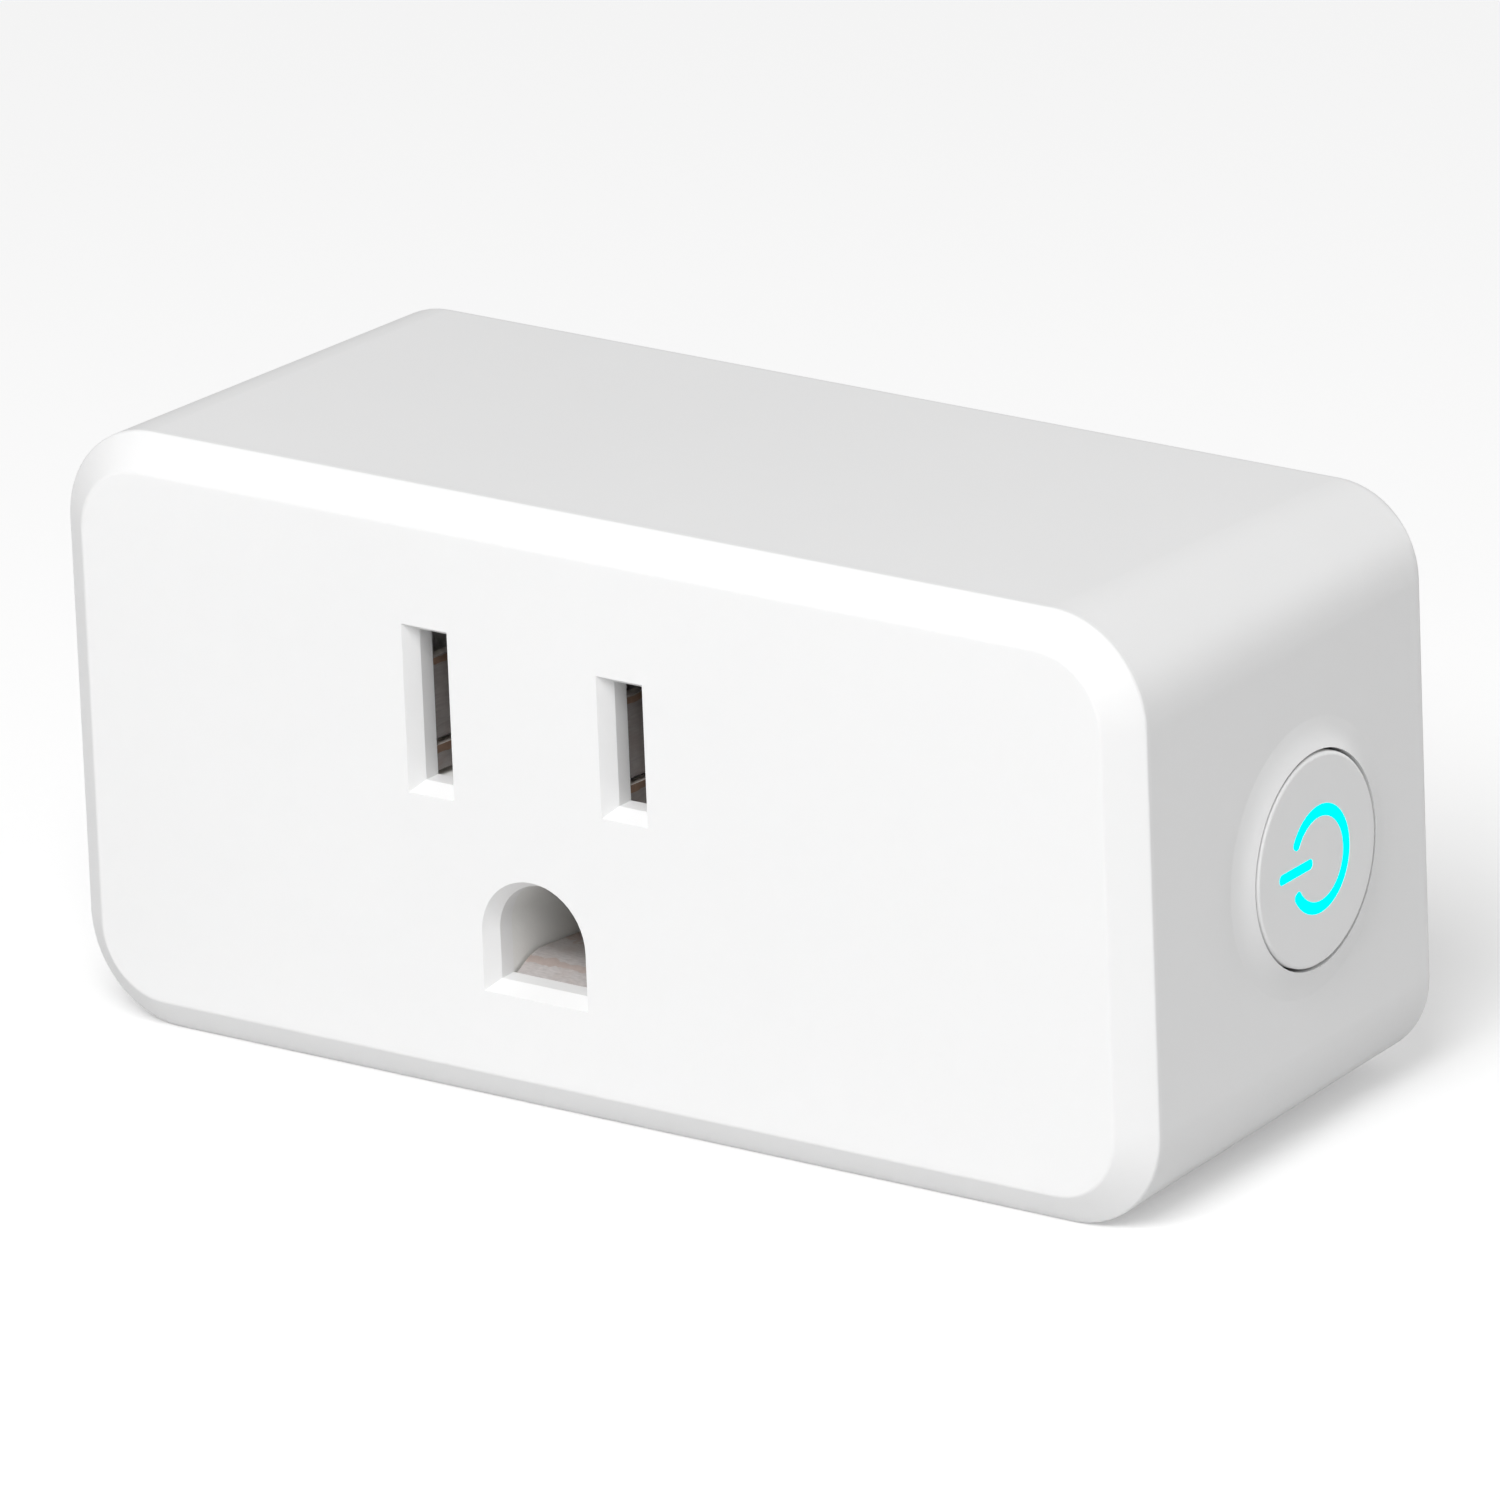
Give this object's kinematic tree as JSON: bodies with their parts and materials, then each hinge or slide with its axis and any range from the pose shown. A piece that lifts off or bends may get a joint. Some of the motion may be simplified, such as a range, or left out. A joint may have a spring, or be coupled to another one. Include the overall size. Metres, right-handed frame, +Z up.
{
  "type": "smart plug",
  "caption": "White box-shaped smart plug with a grounded outlet in the bevelled front, wall pins behind, and a lit round power button on one side.",
  "frame": {"origin": "midway between the two flat blades, on the wall face", "axes": "+X towards the power button, +Y into the wall along the blades, +Z up; the outlet faces -Y"},
  "size_m": [0.0703, 0.0496, 0.034],
  "materials": {
    "cover_white": "satin white polycarbonate",
    "housing_white": "fine matte white polycarbonate",
    "button_white": "fine matte white polycarbonate",
    "symbol_glow": "translucent light guide, lit cyan",
    "contact_alloy": "tin-plated phosphor bronze with bare sheared edges",
    "pin_brass": "nickel-plated brass",
    "inner_plastic": "white flame-retardant nylon",
    "carrier_plastic": "white flame-retardant nylon",
    "board_laminate": "green solder mask on glass-epoxy",
    "module_laminate": "dark blue solder mask",
    "screw_steel": "zinc-plated steel",
    "solder": "bright tin solder",
    "strap_brass": "bare brass sheet",
    "gold_trace": "gold flash",
    "relay_blue": "blue moulded case",
    "bobbin_white": "natural nylon",
    "copper_wire": "enamelled copper wire",
    "relay_iron": "nickel-plated soft iron",
    "lead_tin": "tinned copper wire",
    "capacitor_sleeve": "black heat-shrink sleeve on aluminium",
    "ferrite": "dark grey ferrite",
    "resistor_coat": "green flame-proof coating",
    "varistor_coat": "blue epoxy coating",
    "chip_black": "black moulding compound",
    "chip_ceramic": "fired ceramic with tinned ends",
    "shield_metal": "nickel silver sheet",
    "header_black": "black nylon",
    "switch_plunger": "dark acetal",
    "led_body": "white package with clear window"
  },
  "bodies": {
    "plug_body": {"blade_retainer": "inner_plastic", "board_header": "header_black", "board_header_pins": "gold_trace", "board_screws": "screw_steel", "bridge_rectifier": "chip_black", "bulk_capacitor_1": "capacitor_sleeve", "bulk_capacitor_2": "capacitor_sleeve", "button_board": "board_laminate", "carrier_screws": "screw_steel", "contact_carrier": "carrier_plastic", "flyback_diode": "chip_black", "front_cover": "cover_white", "fusible_resistor": "resistor_coat", "ground_contact": "contact_alloy", "ground_pin": "pin_brass", "inductor_core": "ferrite", "inductor_winding": "copper_wire", "line_blade": "pin_brass", "line_contact": "contact_alloy", "line_in_strap": "strap_brass", "line_out_strap": "strap_brass", "main_board": "board_laminate", "neutral_blade": "pin_brass", "neutral_contact": "contact_alloy", "output_capacitor": "capacitor_sleeve", "power_ic": "chip_black", "rear_housing": "housing_white", "relay_base": "relay_blue", "relay_bobbin": "bobbin_white", "relay_case": "relay_blue", "relay_coil": "copper_wire", "relay_coil_pins": "lead_tin", "relay_core": "relay_iron", "relay_driver_transistor": "chip_black", "relay_fixed_contact": "contact_alloy", "relay_yoke": "relay_iron", "smd_parts": "chip_ceramic", "solder_joints": "solder", "status_leds": "led_body", "surge_varistor": "varistor_coat", "tact_switch_base": "header_black", "tact_switch_cover": "shield_metal", "voltage_regulator": "chip_black", "wifi_antenna": "gold_trace", "wifi_module_board": "module_laminate", "wifi_shield": "shield_metal"},
    "power_button": {"power_button": "button_white", "power_symbol_lens": "symbol_glow"},
    "tact_plunger": {"tact_switch_plunger": "switch_plunger"},
    "relay_armature": {"relay_armature": "relay_iron", "relay_contact_spring": "contact_alloy"}
  },
  "joints": [
    {"name": "button_press", "type": "slide", "parent": "plug_body", "child": "power_button", "axis": [-0.9995, -0.0332, 0], "range_m": [0, 0.0004], "stiffness_N_per_m": 400, "springref_m": -0.002},
    {"name": "switch_press", "type": "slide", "parent": "plug_body", "child": "tact_plunger", "axis": [-0.9995, -0.0332, 0], "range_m": [0, 0.0004]},
    {"name": "armature_pull", "type": "hinge", "parent": "plug_body", "child": "relay_armature", "pos_m": [0.0196, -0.0186, -0.0097], "axis": [-1, 0, 0], "range_deg": [0, 3.3], "stiffness_Nm_per_rad": 0.02, "springref_deg": -5.73}
  ],
  "couplings": [
    {"joint": "switch_press", "follows": "button_press", "ratio": 1}
  ]
}
